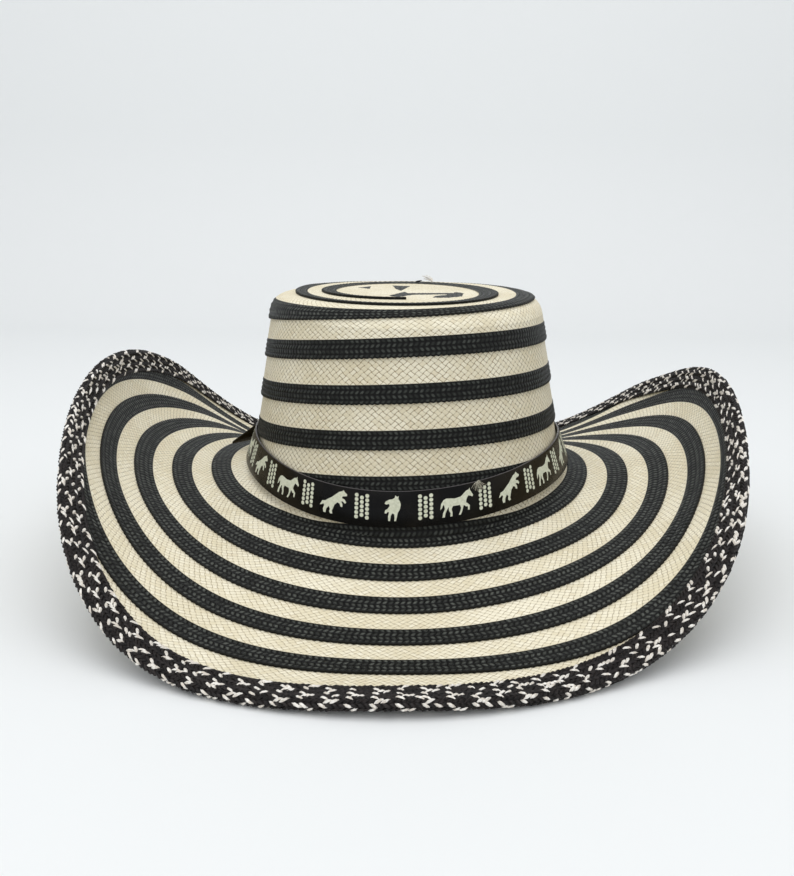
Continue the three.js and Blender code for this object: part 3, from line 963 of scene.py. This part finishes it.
# Painted highlight: a light grey line along the edge where down is nought, the band's upper edge,
# standing in for light caught on its rounded edge
coat = n.mix(n.times(n.smooth(down, HIGHLIGHT_EDGE_WIDTH, 0.0), 0.8), coat, STRAP_PAINTED_HIGHLIGHT)
n.finish(coat, n.smooth(wear, 0.2, 0.8, 0.2, 0.34), gloss=0.14)
n.bump(n.noise(place, 2600.0, 3.0, 0.6), strength=0.15, distance=0.0002)

hat_band = finished_piece("hat_band", [band_mesh], strap_coat, sharp=80)
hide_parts("hatband")

# Outlines of the motifs in mm, from the strap's middle line: own plain silhouettes
WALKING = (
    (-5, 8.6), (-6.3, 8), (-7.4, 6.4), (-7.8, 3.6), (-6.9, 4.6), (-6.3, 6), (-5.9, 5.2),
    (-5.7, 3.9), (-6.6, 1.9), (-6.9, 0), (-5.8, 0), (-5.5, 1.8), (-4.6, 3.6), (-3.9, 4.6),
    (-3.9, 2.9), (-3.1, 1.5), (-3.3, 0), (-2.3, 0), (-2.2, 1.7), (-2.6, 3.4), (-1.9, 4.7),
    (1.4, 4.6), (1.9, 3.2), (1.5, 1.6), (0.7, 0.2), (1.6, 0), (2.4, 1.5), (2.9, 3.2),
    (3.3, 4.3), (4.2, 3.4), (5.3, 3.2), (5.2, 1.6), (6, 1.5), (6.2, 3.6), (5.4, 4.4),
    (4.4, 5.3), (4.7, 6.8), (5.6, 8.2), (6.6, 7.9), (7.7, 7.3), (8.1, 8), (7.2, 9.6),
    (6.6, 10.6), (6.5, 11.6), (5.9, 10.9), (4.6, 10.6), (3.1, 9.3), (1.9, 8.4), (-1, 8),
    (-3.2, 8.4),
)
REARING = (
    (-4.6, 0), (-3.5, 0), (-3.2, 1.8), (-2, 3.4), (-1.2, 2.2), (-1.6, 0.9), (-0.9, 0.1),
    (0.1, 0.2), (-0.2, 1.5), (0.4, 3), (1, 4.6), (2.4, 6), (3.6, 5.6), (4.1, 4.3),
    (5, 4.2), (5, 5.6), (4.2, 6.7), (5.2, 6.9), (6.2, 6), (6.9, 6.6), (6, 7.9),
    (4.6, 8.3), (4.9, 9.2), (5.9, 9.4), (7, 9.6), (7.2, 10.4), (5.9, 11.4), (5.3, 12.2),
    (4.7, 11.6), (3.1, 11), (1.4, 9.6), (-0.4, 8), (-2.6, 6.6), (-3.9, 5.6), (-5.6, 5.2),
    (-6.8, 3), (-6, 3.2), (-4.9, 3.9), (-4.4, 3.2), (-5, 1.6),
)
TURNING = (
    (-2.2, 0), (-1.4, 0), (-1.1, 2.4), (-0.5, 3.6), (0.4, 3.2), (0.6, 1.4), (0.4, 0), (1.2, 0),
    (1.6, 1.8), (2, 3.9), (2.9, 5.4), (3.3, 7.6), (2.9, 9.2), (2.2, 10.2), (2.4, 11.6),
    (1.7, 11.2), (0.9, 11.9), (0.6, 10.8), (-0.4, 10.1), (-1.9, 9.9), (-3.4, 9), (-3.9, 8),
    (-3.1, 7.6), (-1.9, 8), (-1.6, 7), (-2.6, 5.6), (-3.6, 5), (-3.9, 3.6), (-3.1, 3.4),
    (-2.5, 4.2), (-1.9, 4), (-2.3, 2.2),
)
HORSES = (TURNING, WALKING, REARING, WALKING, REARING)
HORSE_HALF_HEIGHT = 6
DOT_RADIUS = 0.93
DOT_PITCH = 2.02
DOT_COLUMN = 2.5
PRINT_RISE = 0.7
DOT_SIDES = 10
PRINT_RELIEF = 0.07
SLICE = 1.5


def band_azimuths():
    """Azimuth as a function of the distance along the band's middle line, from the front motif
    towards the right."""
    fine = np.linspace(FRONT_MOTIF_AZIMUTH, FRONT_MOTIF_AZIMUTH + 360, 1441)
    return fine, length_along(wall_point(fine, band_bottom(fine) - BAND_WIDTH / 2))


def motif(bm, outline, x, y):
    """Adds an outline to the flat print as a closed slab."""
    low = [bm.verts.new((x + a, y + b, -PRINT_RELIEF)) for a, b in outline]
    face = bm.faces.new(low)
    made = bmesh.ops.extrude_face_region(bm, geom=[face])
    top = [v for v in made["geom"] if isinstance(v, bmesh.types.BMVert)]
    bmesh.ops.translate(bm, verts=top, vec=(0, 0, 2 * PRINT_RELIEF))


fine_azimuth, fine_length = band_azimuths()
motif_pitch = fine_length[-1] / MOTIF_PERIODS
turn = np.arange(DOT_SIDES) * 2 * np.pi / DOT_SIDES
dot = points(np.cos(turn), np.sin(turn)) * DOT_RADIUS
bm = bmesh.new()
for period in range(-MOTIF_PERIODS // 2, MOTIF_PERIODS // 2):
    x = (period + 0.5) * motif_pitch
    motif(bm, HORSES[period % len(HORSES)], x - motif_pitch / 2, -HORSE_HALF_HEIGHT)
    for column, count in ((-1, 6), (0, 5), (1, 6)):
        for k in range(count):
            spot = (column * DOT_COLUMN, (k - (count - 1) / 2) * DOT_PITCH)
            motif(bm, dot + spot, x, 0)
bmesh.ops.triangulate(bm, faces=[f for f in bm.faces if len(f.verts) > 4])
for cut in np.arange(-fine_length[-1] / 2, fine_length[-1] / 2, SLICE):
    geometry = bm.verts[:] + bm.edges[:] + bm.faces[:]
    bmesh.ops.bisect_plane(bm, geom=geometry, plane_co=(cut, 0, 0), plane_no=(1, 0, 0))
print_mesh = bpy.data.meshes.new("print")
bm.to_mesh(print_mesh)
bm.free()
x, y, z = read_points(print_mesh).T
azimuth = np.interp(x % fine_length[-1], fine_length, fine_azimuth)
run = band_bottom(azimuth) - BAND_WIDTH / 2 - PRINT_RISE - y
write_points(print_mesh, beside_wall(azimuth, run, BAND_OUTER + z))

INK = (0.74, 0.76, 0.61)
INK_THIN = (0.58, 0.60, 0.45)
print_ink, n = new_material("print_ink")
blot = n.noise(n.add("ShaderNodeTexCoord").outputs["Object"], 900.0, 3.0, 0.6)
n.finish(n.mix(n.smooth(blot, 0.3, 0.75), INK, INK_THIN), roughness=0.45)
band_print = finished_piece("band_print", [print_mesh], print_ink)

# ---- strap's free end
# The strap's pointed end lies on the band at the back left, then leaves it in a straight line.
TAIL_START = 130
TAIL_LEAVES = 150
TAIL_FREE_LENGTH = 50
TAIL_POINT_LENGTH = 35
TAIL_POINT_WIDTH = 1.5
TAIL_RISE = 0.08
TAIL_INNER = 2.65
TAIL_OUTER = 3.6
TAIL_STATIONS = 24

on_band = np.linspace(TAIL_START, TAIL_LEAVES, TAIL_STATIONS)
ahead = np.array((TAIL_LEAVES, TAIL_LEAVES + 1), float)
ahead = beside_wall(ahead, band_bottom(ahead), TAIL_INNER + 0 * ahead)
leaving = unit((ahead[1] - ahead[0]) * (1, 1, 0)) + (0, 0, TAIL_RISE)
free = np.linspace(0, TAIL_FREE_LENGTH, TAIL_STATIONS)[1:]
point = np.clip((free - TAIL_FREE_LENGTH + TAIL_POINT_LENGTH) / TAIL_POINT_LENGTH, 0, 1)
narrowing = BAND_WIDTH + (TAIL_POINT_WIDTH - BAND_WIDTH) * point
width = np.concatenate((0 * on_band + BAND_WIDTH, narrowing))
azimuth = np.concatenate((on_band, 0 * free + TAIL_LEAVES))
distance = np.concatenate((0 * on_band, free))
sections = [strap_profile(w, TAIL_INNER, TAIL_OUTER) for w in width]
down = np.array([w - s[0] for w, s in zip(width, sections)])
lift = np.array([s[1] for s in sections])
azimuth = azimuth[:, None] + 0 * down
spots = beside_wall(azimuth, band_bottom(azimuth) - down, lift)
spots = spots + leaving * distance[:, None, None] * MM
tail_mesh = new_mesh("tail", spots, closed_tube(*down.shape), points(azimuth, down))
strap_end = finished_piece("strap_end", [tail_mesh], strap_coat, sharp=80)
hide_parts("hatband_tail")

# ---- loose straws
# A few ends of straw have come loose: on the top behind the woven figure, and on the upper
# edge of the band.
# For each tuft: azimuth, run, lift, number of straws, length, heading from down the run towards
# the right, spread of the headings, rise and radius
TUFTS = (
    (81, -36, 1.5, 8, 4, -120, 60, 0.3, 0.3),
    (66, -33, 1.5, 10, 8, 70, 35, 0.5, 0.3),
    (-66, 78.5, 2.6, 22, 5.5, -25, 65, 0.2, 0.24),
)
STRAW_SIDES = 4
STRAW_STATIONS = 5


def tuft_mesh(seed, azimuth, run, lift, count, length, heading, spread, rise, radius):
    """Tapered straws from one spot: each is a curve of heading times distance along the sheet
    and rise times the square root of its share above it, with a small square section."""
    chance = np.random.default_rng(seed)
    share = np.linspace(0, 1, STRAW_STATIONS)[None, :, None]
    turned = heading + spread * chance.uniform(-1, 1, (count, 1, 1)) + 25 * share
    reach = length * chance.uniform(0.6, 1, (count, 1, 1)) * share
    wide = radius * (1 - 0.75 * share)
    corner = np.arange(STRAW_SIDES) * 2 * np.pi / STRAW_SIDES
    down = reach * cosd(turned) + wide * np.sin(corner) * sind(turned)
    right = reach * sind(turned) - wide * np.sin(corner) * cosd(turned)
    above = lift + rise * length * np.sqrt(share) * chance.uniform(0.3, 1, (count, 1, 1))
    above = above + wide * np.cos(corner)
    near = straw_point(np.array((azimuth - 1.0, azimuth + 1.0)), np.array((run, run)))
    per_degree = np.linalg.norm(near[1] - near[0]) / 2
    spots = lifted_point(azimuth + right / per_degree, run + down, above)
    faces = np.array(closed_tube(STRAW_STATIONS, STRAW_SIDES))[None]
    faces = faces + np.arange(count)[:, None, None] * STRAW_STATIONS * STRAW_SIDES
    uv = points(reach, wide * np.cos(corner) + np.arange(count)[:, None, None])
    return new_mesh("tuft", spots, faces.reshape(-1, 4).tolist(), uv)


grey_straw = strand_material("grey_straw", (0.16, 0.15, 0.11), (0.55, 0.52, 0.42), 0.6)
names = ("loose_dark", "loose_light", "loose_grey")
coats = (dark_strand, light_strand, grey_straw)
for seed, (name, tuft, coat) in enumerate(zip(names, TUFTS, coats)):
    loose = finished_piece(name, [tuft_mesh(seed, *tuft)], coat)

# ---- table, light and camera
# A pale sweep that rises behind the hat, a broad soft light from above and in front, and an
# eye-level camera a little above the brim.
SWEEP_BACK = 1.05
SWEEP_RADIUS = 0.35
SWEEP_FRONT = -2.5
SWEEP_HEIGHT = 3
SWEEP_HALF_WIDTH = 3.5
turn = np.linspace(0, np.pi / 2, 24)
curve_y = SWEEP_BACK + SWEEP_RADIUS * np.sin(turn)
curve_z = SWEEP_RADIUS * (1 - np.cos(turn))
y = np.concatenate(((SWEEP_FRONT,), curve_y, (SWEEP_BACK + SWEEP_RADIUS,)))
z = np.concatenate(((0,), curve_z, (SWEEP_HEIGHT,)))
spots = points(np.array((-SWEEP_HALF_WIDTH, SWEEP_HALF_WIDTH)), y[:, None], z[:, None])
i = np.arange(len(y) - 1)
faces = np.stack((2 * i, 2 * i + 1, 2 * i + 3, 2 * i + 2), -1).tolist()
sweep_mesh = new_mesh("sweep", spots, faces, spots[..., :2])
sweep_mesh.shade_smooth()
sweep = bpy.data.objects.new("sweep", sweep_mesh)
bpy.context.scene.collection.objects.link(sweep)
PAPER = (0.835, 0.85, 0.85, 1)
paper, n = new_material("paper")
n.finish(PAPER, roughness=0.7)
sweep_mesh.materials.append(paper)

ROOM_LIGHT = (0.965, 0.98, 1.0, 1)
ROOM_STRENGTH = 0.78
world = bpy.data.worlds.new("soft_room")
bpy.context.scene.world = world
world.use_nodes = True
room = world.node_tree.nodes["Background"]
room.inputs["Color"].default_value = ROOM_LIGHT
room.inputs["Strength"].default_value = ROOM_STRENGTH


def put(name, data, x, y, z, place):
    """A new object in the scene, with its three axes and its place."""
    thing = bpy.data.objects.new(name, data)
    turned = np.eye(4)
    turned[:3] = np.stack((x, y, z, place), axis=-1)
    thing.matrix_world = Matrix(turned.tolist())
    bpy.context.scene.collection.objects.link(thing)
    return thing


def soft_light(name, place, aim, size, power):
    """A square area light at a place, turned towards an aim."""
    light = bpy.data.lights.new(name, "AREA")
    light.size = size
    light.energy = power
    place, aim = np.array(place, float), np.array(aim, float)
    z = unit(place - aim)
    x = unit(np.cross((0, 1, 0) if abs(z[2]) > 0.9 else (0, 0, 1), z))
    put(name, light, x, np.cross(z, x), z, place)


soft_light("overhead", (0, -0.2, 1.6), (0, 0, 0), 1.6, 11)
soft_light("front", (-0.5, -1.6, 1.1), (0, 0, 0.08), 1.2, 3.2)

CAMERA_PLACE = (-0.55, -524.8, 174.1)
CAMERA_PITCH = -0.198
CAMERA_YAW = 0.011
CAMERA_ROLL = 0.008
FOCAL_PIXELS = 967.7
PICTURE_HEIGHT = 876
CENTRE_LIFT = 20.4
SENSOR = 36
camera = bpy.data.cameras.new("camera")
camera.lens = SENSOR * FOCAL_PIXELS / PICTURE_HEIGHT
camera.sensor_width = SENSOR
camera.shift_y = -CENTRE_LIFT / PICTURE_HEIGHT
camera.clip_start = 0.01
right = np.array((np.cos(CAMERA_YAW), np.sin(CAMERA_YAW), 0))
level = np.array((-np.sin(CAMERA_YAW), np.cos(CAMERA_YAW), 0))
upright = np.array((0, 0, 1))
ahead = level * np.cos(CAMERA_PITCH) + upright * np.sin(CAMERA_PITCH)
up = upright * np.cos(CAMERA_PITCH) - level * np.sin(CAMERA_PITCH)
rolled_right = right * np.cos(CAMERA_ROLL) + up * np.sin(CAMERA_ROLL)
rolled_up = up * np.cos(CAMERA_ROLL) - right * np.sin(CAMERA_ROLL)
eye = put("camera", camera, rolled_right, rolled_up, -ahead, np.array(CAMERA_PLACE) * MM)
bpy.context.scene.camera = eye
bpy.context.scene.view_settings.view_transform = "Standard"
